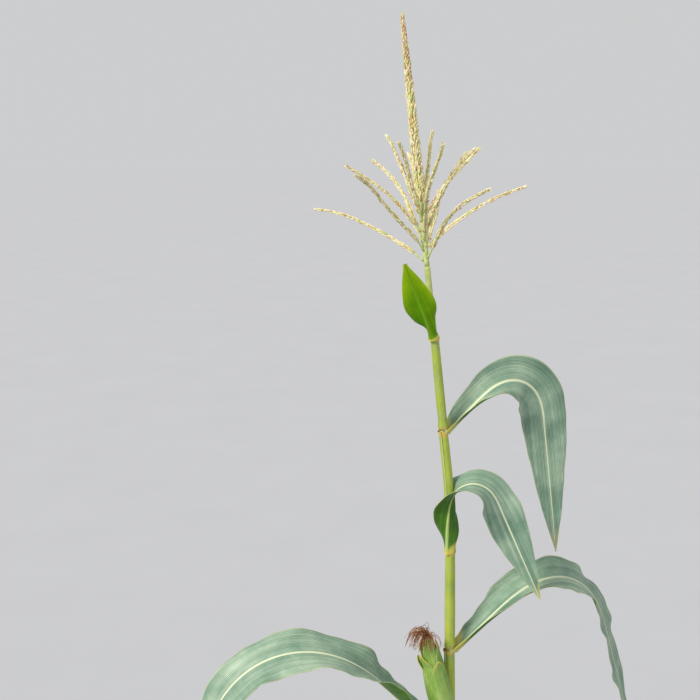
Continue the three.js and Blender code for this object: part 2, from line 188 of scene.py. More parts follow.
# Mottled surfaces: a dark, a middle and a pale tone, how fine the mottle is, and the roughness
MOTTLED = dict(
    leaf_margin=("8ea264", "a9b67c", "c2c897", 260, 0.6),
    dry_margin=("a88446", "c9a45c", "dcc084", 260, 0.7),
    husk_inside=("9db35f", "b9c67e", "d2d8a2", 90, 0.55),
    husk_margin=("b4b86a", "cdca88", "ddd8a6", 260, 0.6),
    silk_brown=("4a2413", "6b3a1e", "8f5a30", 300, 0.7),
    silk_red=("5a2218", "80392a", "a05a3c", 300, 0.65),
    silk_tan=("8a6236", "aa8450", "c6a870", 300, 0.7),
    rachis=("9fb46a", "bfc983", "dad99c", 120, 0.5),
    floret_cream=("dbcf9f", "ebe0b9", "f6eed2", 420, 0.75),
    floret_straw=("d0c079", "e2d596", "f0e6b6", 420, 0.75),
    floret_tan=("b48d59", "cfab79", "e2c99b", 420, 0.8),
    floret_pink=("bd917f", "d6b4a0", "e8d0c0", 420, 0.8),
    floret_green=("aab566", "c4cb82", "d8da9e", 420, 0.75),
)

# Material numbers: of a leaf's or a husk's sheets, of the stalk and of the tassel's spikelets
UPPER, LOWER, EDGE, SHEATH = range(4)
CULM, ROOT = range(2)
CREAM, STRAW, TAN, PINK, GREEN = range(5)

# The ear in a leaf's axil, its husks and its silk. Of the husks, pairs are for the innermost and the
# outermost: how far they reach along the ear, how far they wrap to both sides, and where they lie
# in its radius. Of the silk, ranges are the least and the most, and taper is from foot to tip
EAR_LEAF = 5
EAR = dict(length=0.190, radius=0.022, neck=0.007, lift=0.016, lean=13, offset=0.6)
HUSKS = dict(count=7, reach=(1.03, 0.80), stagger=0.05, arc=(1.9, 1.5), lie=(0.90, 0.975), spiral=0.5)
HUSK_TIPS_OPEN = 0.006
HUSK_RIBS = dict(radians=26, height=0.0004)
SILK = dict(strands=150, length=0.062, radius=0.0004, taper=(1.2, 0.6), fan=100, curl=30, spread=0.0028)
SILK_RANGES = dict(share=(0.55, 1.02), rise=(52, 84), droop=(-84, -50))

# The tassel: its spike, its branches from the lowest to the highest, and the spikelets
SPIKE = dict(radius=0.0044, tip=0.0010, taper_power=3, bare_to=1.552, rows=12, pitch=0.0064, tilt=14)
SPIKE_SIZES = (1.0, 0.5)
SPIKE_SCATTER = dict(turn=0.12, tilt=4)
SPIKE_DRY = dict(least=0.05, more=0.65, above=0.45)
BRANCHES = dict(count=16, base=(1.449, 1.540), yaw=165, length=(0.208, 0.128))
BRANCH_RISE = (38, 62)
BRANCH_DROOP = (6, 50)
BRANCH_SWAY = 12
BRANCH_RADIUS = (0.0016, 0.0007)
BRANCH_FOOT = 0.0009
BRANCH_WANDER = 5
BRANCH_SCATTER = dict(place=0.004, turn=14, tilt=5)
SPIKELET = dict(length=0.0094, width=0.0034, thickness=0.0027, tilt=15, pitch=0.0046, bare_share=0.10)
SPIKELET_UNLIKE = 0.09
AROUND_BRANCH = (-52, 52, -128, 128)


def lerp(a, b, t):
    return a + (b - a) * t


def smoothstep(x, low, high):
    t = np.clip((np.asarray(x, float) - low) / (high - low), 0, 1)
    return t * t * (3 - 2 * t)


def unit(v):
    return v / np.maximum(np.linalg.norm(v, axis=-1, keepdims=True), 1e-12)


# Places on the plant


def axis_at(z):
    """Points on the stalk's leaning axis."""
    z = np.asarray(z, float)
    low, high = LEAN_BEND
    t = np.clip((z - low) / (high - low), 0, 1)
    past_bend = (high - low) * (t**3 - t**4 / 2) + np.maximum(z - high, 0)
    away = LEAN_SLOPES[0] * z + (LEAN_SLOPES[1] - LEAN_SLOPES[0]) * past_bend
    towards = math.radians(LEAN_YAW)
    return np.stack([away * math.cos(towards), away * math.sin(towards), z], -1)


def culm_radius(z):
    """The stalk's own radius at a height."""
    share = np.clip(np.asarray(z, float) / CULM_TOP, 0, 1) ** CULM_TAPER_POWER
    return lerp(*CULM_RADIUS, share)


def sheath_radius(z):
    """The radius over the sheath that wraps the stalk there."""
    return culm_radius(z) + SHEATH_WALL


def round_stalk(z, angle, radius):
    """Points at these angles and radii round the stalk's axis."""
    spokes = np.stack([np.cos(angle), np.sin(angle), 0 * angle], -1)
    return axis_at(z) + spokes * radius[..., None]


def directions(pitch, yaw, roll=0.0):
    """Unit vectors along, to the side and up, for angles in degrees."""
    pitch, yaw, roll = (np.radians(a) for a in np.broadcast_arrays(pitch, yaw, roll))
    flat = np.zeros_like(pitch, dtype=float)
    along = np.stack([np.cos(pitch) * np.cos(yaw), np.cos(pitch) * np.sin(yaw), np.sin(pitch)], -1)
    level = np.stack([-np.sin(yaw), np.cos(yaw), flat], -1)
    above = np.cross(along, level)
    side = level * np.cos(roll)[..., None] + above * np.sin(roll)[..., None]
    return along, side, np.cross(along, side)


def swept(start, length, steps, pitch_at, yaw_at, roll_at=lambda u: 0 * u):
    """A line of stations: the shares u, their points, and the directions there."""
    u = np.linspace(0, 1, steps + 1)
    middle = (u[1:] + u[:-1]) / 2
    strides, _, _ = directions(pitch_at(middle), yaw_at(middle))
    points = start + np.vstack([np.zeros(3), np.cumsum(strides, 0) * length / steps])
    return u, points, directions(pitch_at(u), yaw_at(u), roll_at(u))


def new_object(name, data):
    """An object in the scene."""
    made = bpy.data.objects.new(name, data)
    bpy.context.scene.collection.objects.link(made)
    return made


# Meshes, grown from arrays

# A direction that no limb runs along, so that the spokes round any limb can start from it
NEVER_ALONG = np.array([0.13, 0.97, 0.21])


class Skin:
    """Gathers quads, their material numbers, and two sets of coordinates: metres and shares."""

    def __init__(self):
        self.points, self.quads, self.slots, self.metres, self.shares = [], [], [], [], []
        self.count = 0

    def add(self, points, quads, slots, metres, shares):
        self.points.append(points.reshape(-1, 3))
        self.quads.append(quads + self.count)
        self.slots.append(np.broadcast_to(slots, len(quads)))
        self.metres.append(metres)
        self.shares.append(shares)
        self.count += len(self.points[-1])

    def piece(self, name, materials, slot, *nodes):
        """Makes the object that stands for these nodes of the frame."""
        points, quads = np.concatenate(self.points), np.concatenate(self.quads)
        mesh = bpy.data.meshes.new(name)
        mesh.vertices.add(len(points))
        mesh.vertices.foreach_set("co", points.astype(np.float32).ravel())
        mesh.loops.add(quads.size)
        mesh.loops.foreach_set("vertex_index", quads.astype(np.int32).ravel())
        mesh.polygons.add(len(quads))
        mesh.polygons.foreach_set("loop_start", np.arange(0, quads.size, 4, dtype=np.int32))
        mesh.polygons.foreach_set("material_index", np.concatenate(self.slots).astype(np.int32))
        mesh.polygons.foreach_set("use_smooth", np.ones(len(quads), bool))
        for label, parts in (("metres", self.metres), ("shares", self.shares)):
            layer = mesh.uv_layers.new(name=label)
            layer.uv.foreach_set("vector", np.concatenate(parts).astype(np.float32).ravel())
        mesh.update(calc_edges=True)
        mesh.validate()
        for material in materials:
            mesh.materials.append(material)
        made = new_object(name, mesh)
        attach(made, "root")
        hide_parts(*nodes)


def grid(rows, columns):
    """Quads over rows of points that each close on themselves, and every corner's row and column."""
    i, j = np.meshgrid(np.arange(rows - 1), np.arange(columns), indexing="ij")
    at_row = np.stack([i, i, i + 1, i + 1], -1).reshape(-1, 4)
    at_column = np.stack([j, j + 1, j + 1, j], -1).reshape(-1, 4)
    return at_row * columns + at_column % columns, at_row, at_column


def corner_values(first, second, at_row, at_column):
    """Two coordinates, over rows by columns between them, at the quads' corners."""
    return np.stack(np.broadcast_arrays(first, second), -1)[at_row, at_column]


def add_sheet(skin, points, faces, slots, metres, shares, upwards=1):
    """A thin closed sheet on rows by columns of points. faces is how far its upper and its lower
    side lie from the points, and slots are the material numbers of its upper side, its lower side
    and its edges. upwards is -1 where the upper side is the other one."""
    columns = points.shape[1]
    normals = unit(np.cross(np.gradient(points, axis=0), np.gradient(points, axis=1))) * upwards
    above, below = (np.asarray(depth)[..., None] for depth in faces)
    ring = np.concatenate([points + normals * above, (points - normals * below)[:, ::-1]], 1)
    quads, at_row, at_ring = grid(len(points), 2 * columns)
    span = at_ring[:, 0]
    is_edge = (span == columns - 1) | (span == 2 * columns - 1)
    of_span = np.where(is_edge, slots[2], np.where(span < columns, slots[0], slots[1]))
    out_and_back = np.concatenate([np.arange(columns), np.arange(columns)[::-1], [0]])
    corners = (quads, at_row, out_and_back[at_ring])
    if upwards > 0:
        corners = (values[:, ::-1] for values in corners)
    quads, at_row, at_column = corners
    at_corners = (corner_values(*pair, at_row, at_column) for pair in (metres, shares))
    skin.add(ring, quads, of_span, *at_corners)


def add_tube(skin, centres, radii, sides, slot, ridge=None):
    """A round limb on a line of centres, closed at both ends. ridge(share, angle) scales its radius."""
    steps = len(centres)
    along = unit(np.gradient(centres, axis=0))
    level = unit(np.cross(along, NEVER_ALONG))
    above = np.cross(level, along)
    angle = np.arange(sides + 1) * ALL_AROUND / sides
    share = np.linspace(0, 1, steps)
    wide = np.broadcast_to(np.asarray(radii, float), steps)[:, None] * np.ones(sides)
    if ridge is not None:
        wide = wide * ridge(share[:, None], angle[None, :sides])
    spokes = level[:, None] * np.cos(angle[:sides, None]) + above[:, None] * np.sin(angle[:sides, None])
    foot, tip = (np.broadcast_to(centres[end], (1, sides, 3)) for end in (0, -1))
    points = np.concatenate([foot, centres[:, None] + spokes * wide[..., None], tip])
    run = np.concatenate([[0], np.cumsum(np.linalg.norm(np.diff(centres, axis=0), axis=1))])
    share, run = (np.concatenate([values[:1], values, values[-1:]]) for values in (share, run))
    around = angle * float(np.mean(radii))
    quads, at_row, at_column = grid(steps + 2, sides)
    metres = np.stack([run[at_row], around[at_column]], -1)
    shares = np.stack([share[at_row], at_column / sides], -1)
    skin.add(points, quads, slot, metres, shares)


def add_copies(skin, template, quads, frames, origins, slots):
    """Copies of a small template, each with its own 3 by 3 frame, origin and material number."""
    count = len(origins)
    points = np.einsum("vk,nkc->nvc", template, frames) + origins[:, None]
    offsets = np.arange(count)[:, None, None] * len(template)
    every = (quads[None] + offsets).reshape(-1, 4)
    shares = np.tile(template[:, :2][quads], (count, 1, 1))
    metres = shares * SPIKELET["length"]
    skin.add(points, every, np.repeat(slots, len(quads)), metres, shares)


# Materials


def node_tree(name):
    """A new material, and the short calls for its nodes."""
    material = bpy.data.materials.new(name)
    material.use_nodes = True
    return material, Nodes(material.node_tree)


class Nodes:
    """Short calls for a material's nodes."""

    def __init__(self, tree):
        self.tree = tree
        self.shader = tree.nodes["Principled BSDF"]

    def new(self, kind):
        return self.tree.nodes.new(kind)

    def link(self, value, socket):
        """Sends another node's output, or else a plain value, to a socket."""
        if isinstance(value, bpy.types.NodeSocket):
            self.tree.links.new(value, socket)
        else:
            socket.default_value = value

    def uv(self, layer):
        """The two coordinates of one of the mesh's layers."""
        source = self.new("ShaderNodeUVMap")
        source.uv_map = layer
        parts = self.new("ShaderNodeSeparateXYZ")
        self.tree.links.new(source.outputs["UV"], parts.inputs[0])
        return parts.outputs[0], parts.outputs[1]

    def place(self):
        """The place in the piece, in metres."""
        return self.new("ShaderNodeTexCoord").outputs["Object"]

    def combine(self, x, y):
        node = self.new("ShaderNodeCombineXYZ")
        for value, socket in zip((x, y), node.inputs):
            self.link(value, socket)
        return node.outputs[0]

    def math(self, kind, a, b=0.0, c=0.0):
        """One step of arithmetic on numbers or sockets."""
        node = self.new("ShaderNodeMath")
        node.operation = kind
        for value, socket in zip((a, b, c), node.inputs):
            self.link(value, socket)
        return node.outputs[0]

    def weighted(self, *terms):
        """The sum of values, each times its weight."""
        total = 0.0
        for weight, value in terms:
            total = self.math("MULTIPLY_ADD", value, weight, total)
        return total

    def from_middle(self, side):
        """0 at the middle of a sheet and 1 at both its margins."""
        return self.math("ABSOLUTE", self.math("MULTIPLY_ADD", side, 2.0, -1.0))

    def noise(self, vector, scale, detail=2.0, roughness=0.5):
        node = self.new("ShaderNodeTexNoise")
        node.inputs["Scale"].default_value = scale
        node.inputs["Detail"].default_value = detail
        node.inputs["Roughness"].default_value = roughness
        self.link(vector, node.inputs["Vector"])
        return node.outputs["Fac"]

    def streaks(self, across, along, scale, length, detail=3.0):
        """Noise that is drawn out along a blade."""
        stretched = self.combine(self.math("MULTIPLY", across, scale), self.math("MULTIPLY", along, length))
        return self.noise(stretched, 1.0, detail)

    def between(self, value, low, high, start=0.0, end=1.0):
        """start below low and end above high, smooth between."""
        node = self.new("ShaderNodeMapRange")
        node.interpolation_type = "SMOOTHSTEP"
        for number, socket in zip((value, low, high, start, end), node.inputs):
            self.link(number, socket)
        return node.outputs[0]

    def ramp(self, value, *stops):
        """A colour ramp of (place, colour) stops."""
        node = self.new("ShaderNodeValToRGB")
        ramp = node.color_ramp
        while len(ramp.elements) < len(stops):
            ramp.elements.new(1.0)
        for element, (place, colour) in zip(ramp.elements, stops):
            element.position = place
            element.color = linear(colour)
        self.link(value, node.inputs[0])
        return node.outputs[0]

    def mix(self, factor, a, b):
        """Colour a where the factor is 0, and colour b where it is 1."""
        node = self.new("ShaderNodeMix")
        node.data_type = "RGBA"
        self.link(factor, node.inputs["Factor"])
        for value, socket in zip((a, b), (node.inputs[6], node.inputs[7])):
            self.link(linear(value) if isinstance(value, str) else value, socket)
        return node.outputs[2]

    def tint(self, colour, mask, other, strength):
        """The colour, turned so strongly to another one where the mask is 1."""
        return self.mix(self.math("MULTIPLY", mask, strength), colour, other)

    def finish(self, colour, roughness, height=None, depth=0.0005, specular=0.5):
        """Sends the colour, roughness and relief to the shader."""
        self.link(colour, self.shader.inputs["Base Color"])
        self.link(roughness, self.shader.inputs["Roughness"])
        self.shader.inputs["Specular IOR Level"].default_value = specular
        if height is not None:
            bump = self.new("ShaderNodeBump")
            bump.inputs["Distance"].default_value = depth
            bump.inputs["Strength"].default_value = 1.0
            self.link(height, bump.inputs["Height"])
            self.tree.links.new(bump.outputs[0], self.shader.inputs["Normal"])


def linear(code):
    """A colour such as "8fa070" as linear red, green, blue and alpha."""
    parts = [int(code[k : k + 2], 16) / 255 for k in (0, 2, 4)]
    return [*((p / 12.92 if p <= 0.04045 else ((p + 0.055) / 1.055) ** 2.4) for p in parts), 1.0]


def vein_lines(nodes, across, along, spacing):
    """Long streaks that run along a blade, some stronger than others, from 0 to 1."""
    wander = nodes.noise(nodes.combine(along, 0.0), 6.0)
    shifted = nodes.math("MULTIPLY_ADD", wander, spacing * 0.8, across)
    wave = nodes.math("SINE", nodes.math("MULTIPLY", shifted, ALL_AROUND / spacing))
    return nodes.weighted((0.22, wave), (0.9, nodes.streaks(across, along, 0.55 / spacing, 3.0, 2.0)))


def yellowed(nodes, colour, metres, far, from_middle, sear):
    """A leaf's colour, turned yellow and then brown from the tip and the margins inwards."""
    along, across = metres
    blotch = nodes.noise(nodes.combine(along, nodes.math("MULTIPLY", across, 2.2)), 22.0, 3.0)
    reach = nodes.weighted((0.16, from_middle), (0.22, blotch), (1.0, far))
    start = 1.18 - 0.9 * sear
    colour = nodes.mix(nodes.between(reach, start, start + 0.16), colour, SEAR_YELLOW)
    return nodes.mix(nodes.between(reach, start + 0.13, start + 0.26), colour, SEAR_BROWN)


def leaf_material(name, tones, rib, edge, sear, gloss=0.5, bloom=0.5, glow=None):
    """One side of a blade: veins along it, a pale midrib and margins, and a yellowed tip. glow is
    the colour that a thin leaf with the light behind it takes towards its margins and its tip."""
    material, nodes = node_tree(name)
    along, across = nodes.uv("metres")
    far, side = nodes.uv("shares")
    from_middle = nodes.from_middle(side)
    fine = vein_lines(nodes, across, along, VEINS["blade"])
    middling = nodes.streaks(across, along, 230.0, 2.5)
    broad = nodes.streaks(across, along, 80.0, 3.0)
    # The slow patches, weighted heavily in the tone, paint soft patches of sheen across the blade
    patches = nodes.noise(nodes.combine(along, across), 14.0, 4.0, 0.6)
    tone = nodes.weighted((0.24, fine), (0.20, middling), (0.14, broad), (0.50, patches))
    colour = nodes.ramp(tone, (0.36, tones[0]), (0.52, tones[1]), (0.69, tones[2]))
    if glow is not None:
        outwards = nodes.weighted((0.9, far), (0.5, from_middle), (1.0, patches))
        colour = nodes.tint(colour, nodes.between(outwards, 1.0, 1.9), glow, 0.75)
    rib_width = nodes.math("MULTIPLY_ADD", far, -0.0026, MIDRIB_WIDTH)
    off_rib = nodes.math("DIVIDE", nodes.math("ABSOLUTE", across), rib_width)
    on_rib = nodes.between(off_rib, 0.55, 1.15, 1.0, 0.0)
    colour = nodes.tint(colour, on_rib, rib, 0.9)
    colour = nodes.tint(colour, nodes.between(from_middle, 0.94, 0.995), edge, 0.45)
    from_collar = nodes.math("MULTIPLY_ADD", from_middle, -0.03, far)
    colour = nodes.tint(colour, nodes.between(from_collar, 0.005, 0.035, 1.0, 0.0), COLLAR_YELLOW, 0.85)
    colour = yellowed(nodes, colour, (along, across), far, from_middle, sear)
    rough = nodes.math("MULTIPLY_ADD", patches, 0.22, gloss - 0.1)
    relief = nodes.weighted((0.5, fine), (0.9, middling), (0.9, broad), (-0.5, on_rib))
    nodes.finish(colour, rough, relief, 0.0009, bloom)
    return material


def sheath_material(name, sunny, shaded, bloom, rim):
    """A sheath: ribs along it, a waxy bloom, a pale rim at its margins, a ringed foot and a collar."""
    material, nodes = node_tree(name)
    along, across = nodes.uv("metres")
    far, side = nodes.uv("shares")
    ribs = vein_lines(nodes, across, along, VEINS["sheath"])
    patches = nodes.noise(nodes.combine(along, across), 16.0, 3.0)
    colour = nodes.ramp(nodes.weighted((0.5, ribs), (0.5, patches)), (0.30, shaded), (0.62, sunny))
    waxed = nodes.between(nodes.noise(nodes.combine(along, across), 30.0, 4.0), 0.45, 0.75)
    colour = nodes.tint(colour, waxed, bloom, 0.45)
    colour = nodes.mix(nodes.between(nodes.from_middle(side), 0.93, 0.99), colour, rim)
    ragged = nodes.math("MULTIPLY_ADD", patches, 0.02, far)
    colour = nodes.tint(colour, nodes.between(ragged, 0.015, 0.075, 1.0, 0.0), SHEATH_ENDS["foot"], 0.7)
    colour = nodes.tint(colour, nodes.between(ragged, 0.012, 0.030, 1.0, 0.0), SHEATH_ENDS["node"], 0.75)
    near_collar = nodes.math("MULTIPLY_ADD", patches, 0.03, far)
    colour = nodes.tint(colour, nodes.between(near_collar, 0.955, 0.99), SHEATH_ENDS["collar"], 0.8)
    nodes.finish(colour, nodes.math("MULTIPLY_ADD", patches, 0.2, 0.38), ribs, 0.0006)
    return material


def mottled(name):
    """A plain surface with three tones of one colour, mottled by its place."""
    dark, middle, pale, scale, roughness = MOTTLED[name]
    material, nodes = node_tree(name)
    mottle = nodes.noise(nodes.place(), scale, 4.0, 0.6)
    colour = nodes.ramp(mottle, (0.32, dark), (0.5, middle), (0.68, pale))
    nodes.finish(colour, nodes.math("MULTIPLY_ADD", mottle, 0.25, roughness - 0.12), mottle, 0.0004)
    return material


def culm_material():
    """The stalk: yellow-green, tan near the ground and stained where it meets it."""
    material, nodes = node_tree("culm_green")
    along, across = nodes.uv("metres")
    ribs = vein_lines(nodes, across, along, VEINS["culm"])
    mottle = nodes.noise(nodes.place(), 60.0, 4.0)
    tone = nodes.weighted((0.5, ribs), (0.5, mottle))
    colour = nodes.ramp(tone, (0.3, CULM_TONES["shaded"]), (0.62, CULM_TONES["sunny"]))
    height = nodes.math("MULTIPLY_ADD", mottle, 0.03, along)
    colour = nodes.tint(colour, nodes.between(height, 0.03, 0.10, 1.0, 0.0), CULM_TONES["dusty"], 0.85)
    colour = nodes.tint(colour, nodes.between(height, 0.012, 0.04, 1.0, 0.0), CULM_TONES["stained"], 0.8)
    nodes.finish(colour, nodes.math("MULTIPLY_ADD", mottle, 0.2, 0.42), ribs, 0.0005)
    return material


def root_material():
    """Brace roots: reddish where they leave the stalk, tan along them and soiled at the ground."""
    material, nodes = node_tree("brace_root")
    far, _ = nodes.uv("shares")
    mottle = nodes.noise(nodes.place(), 140.0, 4.0)
    reach = nodes.math("MULTIPLY_ADD", mottle, 0.35, far)
    colour = nodes.ramp(reach, *zip((0.15, 0.38, 0.72, 1.0), ROOT_TONES.values()))
    nodes.finish(colour, 0.7, mottle, 0.0008)
    return material


# The pieces


def add_stalk():
    """The culm with a swollen ring over each whorl of brace roots, cut flat at the ground."""

    def ribbed(share, angle):
        return 1 + 0.012 * np.sin(13 * angle) + 0.01 * np.sin(5 * angle + 40 * share)

    skin = Skin()
    z = np.concatenate([np.linspace(*rows) for rows in CULM_ROWS])
    radius = culm_radius(z) + ROOT_FLARE * (1 - smoothstep(z, 0, ROOT_FLARE_HEIGHT))
    for whorl in ROOT_WHORLS:
        from_ring = (z - whorl["height"] - ROOT_RING["lift"]) / ROOT_RING["width"]
        radius = radius + ROOT_RING["swell"] * np.exp(-(from_ring**2))
    add_tube(skin, axis_at(z), radius, CULM_SIDES, CULM, ribbed)
    for whorl in ROOT_WHORLS:
        for i in range(whorl["count"]):
            add_brace_root(skin, whorl, i)
    skin.piece("stalk_skin", [culm_material(), root_material()], "stalk", "stalk")


def add_brace_root(skin, whorl, i):
    """A root that leaves the stalk, curves down and ends on the ground."""

    def knobbly(share, angle):
        return 1 + 0.05 * np.sin(3 * angle + 21 * share + i) + 0.04 * np.sin(34 * share)

    yaw = whorl["turn"] + 360 * i / whorl["count"]
    bow = RNG.normal(0, ROOT_SHAPE["bow"])
    _, points, _ = swept(
        axis_at(whorl["height"]),
        whorl["length"],
        ROOT_SHAPE["steps"],
        lambda u: lerp(whorl["rise"], whorl["droop"], u),
        lambda u: yaw + bow * np.sin(u * math.pi),
    )
    above = points[:, 2] > 0
    points = points[: int(above.sum()) + 1]
    points[-1, 2] = 0
    share = np.linspace(0, 1, len(points))
    thick = lerp(*ROOT_SHAPE["taper"], share) + ROOT_SHAPE["thick_foot"] * np.exp(-share * 14)
    add_tube(skin, points, whorl["radius"] * thick, ROOT_SHAPE["sides"], ROOT, knobbly)
    skin.points[-1][:, 2] = np.maximum(skin.points[-1][:, 2], 0)


def blade_line(leaf):
    """The midrib of a blade: shares, points and directions."""
    start = axis_at(leaf["collar"] - COLLAR_HEIGHT / 2)
    outwards, _, _ = directions(0.0, leaf["yaw"])
    start = start + outwards * sheath_radius(leaf["collar"])
    bend_at, bend_over = leaf["bend"]

    def pitch_at(u):
        return lerp(*leaf["pitch"], smoothstep(u, bend_at - bend_over / 2, bend_at + bend_over / 2))

    length, _ = leaf["size"]
    turns = leaf.get("turns", TURNS)
    return swept(
        start,
        length,
        round(length / BLADE_STEP),
        pitch_at,
        lambda u: leaf["yaw"] + leaf["veer"] * smoothstep(u, 0, bend_at),
        lambda u: leaf["twist"] * smoothstep(u, *turns),
    )


def half_width(leaf, u):
    """Half a blade's width at shares of its length."""
    _, width = leaf["size"]
    foot_share, full_at = leaf.get("opening", OPENING)
    opened = lerp(foot_share, 1, smoothstep(u, -0.02, full_at))
    return np.hypot(width / 2 * opened * (1 - u**BLADE_TAPER), leaf.get("tip", TIP))


def collar_ring(leaf, across):
    """Points round the collar, out to both sides of the leaf's yaw."""
    z = leaf["collar"] - COLLAR_HEIGHT / 2 + CLASP["slant"] * np.abs(across)
    angle = math.radians(leaf["yaw"]) + CLASP["turn"] * across
    return round_stalk(z, angle, sheath_radius(leaf["collar"]) + CLASP["flare"] * np.abs(across))


def clear_of_stalk(points):
    """The points, moved off the sheathed stalk where they would lie in it."""
    out = points - axis_at(points[..., 2])
    radius = np.maximum(np.linalg.norm(out, axis=-1), 1e-6)
    wanted = sheath_radius(points[..., 2]) + SHEATH_BELLY + CLEAR_BY
    return points + out * (np.maximum(wanted / radius, 1) - 1)[..., None]


def eased(points, gathered):
    """Rows of points that run smoothly where a sharp bend gathers them."""
    for _ in range(EASING_ROUNDS):
        between = (points[:-2] + points[2:]) / 2
        points[1:-1] = lerp(points[1:-1], between, 0.5 * gathered[1:-1, :, None])
    return points


def blade_section(leaf, u, across):
    """How far a blade's points lie out from its midrib and above it: a trough with fine pleats."""
    edge = np.abs(across)
    half = half_width(leaf, u)[:, None]
    curl = TROUGH_CURL * lerp(*TROUGH, smoothstep(u, 0, 0.5))[:, None]
    out = np.sin(curl * across) / curl * half
    rise = (1 - np.cos(curl * edge)) / curl * half
    pleats = PLEATS["height"] * np.sin(across * half / PLEATS["width"]) * edge * (1 - edge)
    return out, rise + pleats


def margin_waves(u, across, length, number):
    """How far the waves lift a blade's points: long ruffles, shorter ripples and fine crimps."""
    u = u[:, None]
    run = u * length
    edge = np.abs(across)
    phase = number * 2 + np.where(across > 0, 2.1, 0.0)
    opened = smoothstep(u, 0.05, 0.3)
    ruffle = np.sin(ALL_AROUND * run / RUFFLE_WAVE + phase)
    ripple = np.sin(ALL_AROUND * run / RIPPLE_WAVE + 1.7 * phase) * np.sin(5.3 * run + 2 * phase)
    crimp = np.sin(ALL_AROUND * run / CRIMP_WAVE + 2.3 * phase) * np.sin(9 * run + phase)
    waves = RUFFLE * length / LONGEST_BLADE * opened * (1 - u) * ruffle * edge**3
    waves = waves + RIPPLE * opened * (1 - u) ** 0.5 * ripple * edge**3
    return waves + CRIMP * smoothstep(u, 0.01, 0.06) * (1 - u**3) * crimp * edge**4


def blade_sheet(leaf, number, across):
    """The shares along a blade, and the middle of its thickness in rows by columns of points."""
    u, midrib, (_, side, up) = blade_line(leaf)
    length, _ = leaf["size"]
    out, rise = blade_section(leaf, u, across)
    plain = midrib[:, None] + side[:, None] * out[..., None] + up[:, None] * rise[..., None]
    strides = np.linalg.norm(np.gradient(plain, axis=0), axis=-1) / (length / (len(u) - 1))
    plain = eased(plain, np.abs(across) * (1 - smoothstep(strides, *GATHERED)))
    waves = smoothstep(strides, *STILLED) * margin_waves(u, across, length, number)
    free = plain + up[:, None] * waves[..., None]
    ring = collar_ring(leaf, across) + (midrib - midrib[0])[:, None]
    clasped = 1 - smoothstep(u * length, 0, CLASP["over"])
    return u, clear_of_stalk(lerp(free, ring, clasped[:, None, None]))


def add_blade(skin, leaf, number):
    """A blade with a keeled midrib under it and a groove over that, its columns denser at the midrib."""
    t = np.linspace(-1, 1, BLADE_COLUMNS)
    across = np.sign(t) * np.abs(t) ** 1.25
    u, centres = blade_sheet(leaf, number, across)
    length, _ = leaf["size"]
    from_rib = across * half_width(leaf, u)[:, None]
    rib = lerp(1.0, MIDRIB_AT_TIP, u)[:, None]
    keel = MIDRIB_DEPTH * rib * np.exp(-((from_rib / (MIDRIB_WIDTH * rib)) ** 2))
    groove = GROOVE_DEPTH * rib * np.exp(-((from_rib / (0.5 * MIDRIB_WIDTH * rib)) ** 2))
    thin = BLADE_THICKNESS / 2
    metres = ((u * length)[:, None] + number * PATTERN_STEP["blade"], from_rib)
    shares = (u[:, None], (across + 1) / 2)
    add_sheet(skin, centres, (thin - groove, thin + keel), (UPPER, LOWER, EDGE), metres, shares)


def add_sheath(skin, leaf, foot, number):
    """A sleeve whose margins overlap on the side away from the blade, with a flared collar."""
    collar = leaf["collar"]
    z = np.concatenate([np.linspace(foot, foot + 0.02, 12), np.linspace(foot + 0.023, collar, 60)])[:, None]
    turn = np.linspace(-SHEATH_OVERLAP, ALL_AROUND + SHEATH_OVERLAP, SHEATH_COLUMNS)
    over = turn / ALL_AROUND
    up_to_flare = np.clip((z - foot) / (collar - COLLAR_HEIGHT - foot), 0, 1)
    from_node = (z - foot - SHEATH_NODE["above"]) / SHEATH_NODE["width"]
    radius = culm_radius(z) + SHEATH_WALL * lerp(0.3, 1.0, over)
    radius = radius + SHEATH_NODE["swell"] * np.exp(-(from_node**2))
    radius = radius + SHEATH_BELLY * np.sin(math.pi * up_to_flare)
    radius = radius + COLLAR_FLARE * smoothstep(z, collar - COLLAR_HEIGHT, collar)
    radius = radius + SHEATH_LOOSE["by"] * smoothstep(z, collar - SHEATH_LOOSE["below"], collar) * over**3
    radius = radius + SHEATH_RIBS["height"] * np.sin(SHEATH_RIBS["count"] * turn)
    angle = math.radians(leaf["yaw"] + 180) + turn + SHEATH_SPIRAL * (z - foot)
    metres = (z + number * PATTERN_STEP["sheath"], turn * radius.mean())
    shares = ((z - foot) / (collar - foot), np.linspace(0, 1, SHEATH_COLUMNS))
    points = round_stalk(z, angle, radius)
    add_sheet(skin, points, FACES["sheath"], (SHEATH, SHEATH, EDGE), metres, shares, -1)


def add_ligule(skin, leaf):
    """The short papery ring that stands where blade and sheath meet, and hugs the next sheath."""
    low, high = LIGULE["span"]
    rise = np.linspace(low, high, 6)[:, None]
    turn = np.linspace(-LIGULE["turn"], LIGULE["turn"], 30)
    ragged = 1 + 0.35 * np.sin(7 * turn + leaf["collar"] * 90) * np.sin(17 * turn)
    z = leaf["collar"] + rise * np.where(rise > 0, ragged, 1.0)
    flare = COLLAR_FLARE * lerp(0.9, 0.25, (rise - low) / (high - low))
    angle = math.radians(leaf["yaw"]) + turn
    points = round_stalk(z, angle, sheath_radius(leaf["collar"]) + flare)
    shares = (np.full_like(z, 0.5), 0.5)
    add_sheet(skin, points, FACES["ligule"], (EDGE, EDGE, EDGE), (rise, turn * 0.01), shares, -1)


